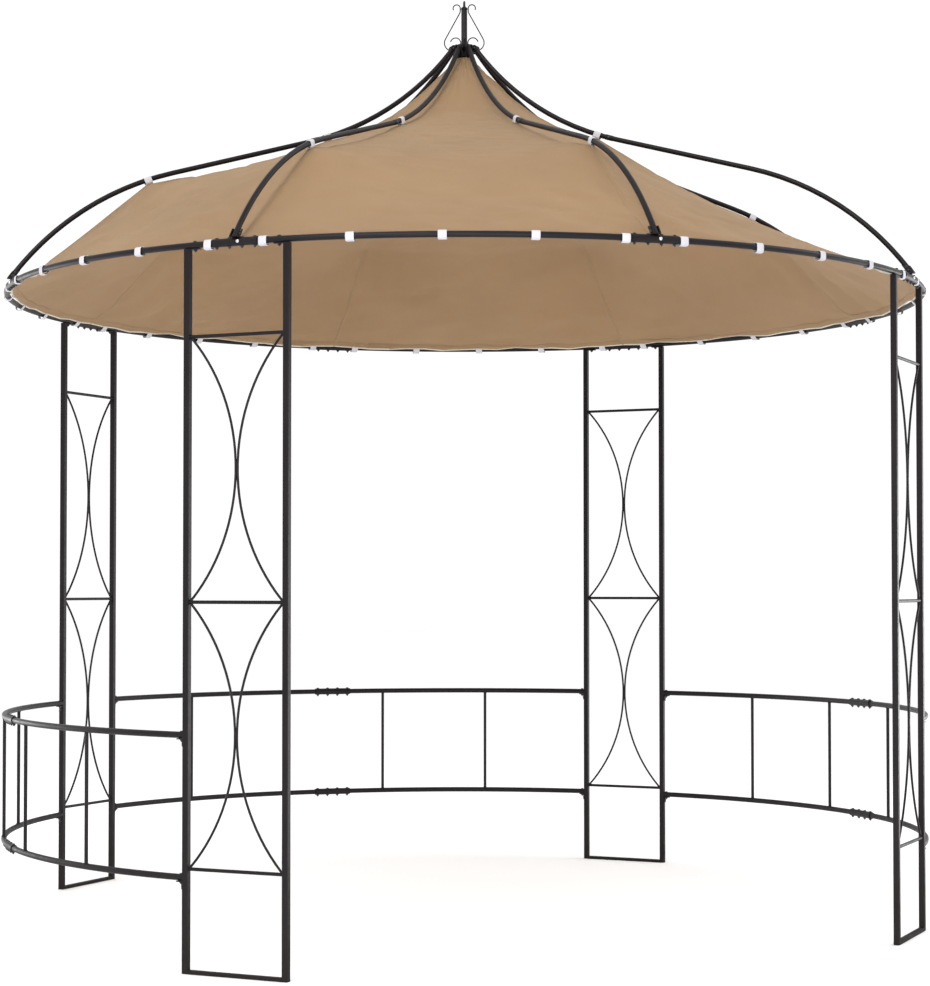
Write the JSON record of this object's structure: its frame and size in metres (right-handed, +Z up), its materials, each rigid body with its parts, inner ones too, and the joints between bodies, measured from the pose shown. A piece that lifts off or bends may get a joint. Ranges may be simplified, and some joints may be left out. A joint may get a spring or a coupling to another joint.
{
  "type": "round garden gazebo",
  "caption": "Round open gazebo: ladder columns, a bent-tube ring, S-shaped ribs, low railings and a strapped cloth canopy that dips from a central peak.",
  "frame": {"origin": "centre of the plan on the ground, under the hub", "axes": "+Z up, -Y out through the open entrance, +X to the right seen from the entrance"},
  "size_m": [3.016, 3.016, 3.01],
  "materials": {
    "frame_paint": "satin",
    "canopy_fabric": "matte",
    "strap_webbing": "matte"
  },
  "bodies": {
    "root": {"post_front_left_a": "frame_paint", "post_front_left_b": "frame_paint", "post_back_left_a": "frame_paint", "post_back_left_b": "frame_paint", "post_back_right_a": "frame_paint", "post_back_right_b": "frame_paint", "post_front_right_a": "frame_paint", "post_front_right_b": "frame_paint", "lattice_front_left": "frame_paint", "lattice_back_left": "frame_paint", "lattice_back_right": "frame_paint", "lattice_front_right": "frame_paint", "ring_1": "frame_paint", "ring_2": "frame_paint", "ring_3": "frame_paint", "ring_4": "frame_paint", "ring_5": "frame_paint", "ring_6": "frame_paint", "ring_7": "frame_paint", "ring_8": "frame_paint", "ring_sleeves": "frame_paint", "post_tabs": "frame_paint", "rail_high_left": "frame_paint", "rail_low_left": "frame_paint", "uprights_left": "frame_paint", "rail_high_back": "frame_paint", "rail_low_back": "frame_paint", "uprights_back": "frame_paint", "rail_high_right": "frame_paint", "rail_low_right": "frame_paint", "uprights_right": "frame_paint", "rail_sleeves": "frame_paint", "rail_brackets": "frame_paint", "rib_front": "frame_paint", "rib_front_right": "frame_paint", "rib_right": "frame_paint", "rib_back_right": "frame_paint", "rib_back": "frame_paint", "rib_back_left": "frame_paint", "rib_left": "frame_paint", "rib_front_left": "frame_paint", "rib_brackets": "frame_paint", "hub": "frame_paint", "finial": "frame_paint", "scrolls": "frame_paint", "canopy": "canopy_fabric", "ring_straps": "strap_webbing", "rib_straps": "strap_webbing"}
  },
  "joints": []
}
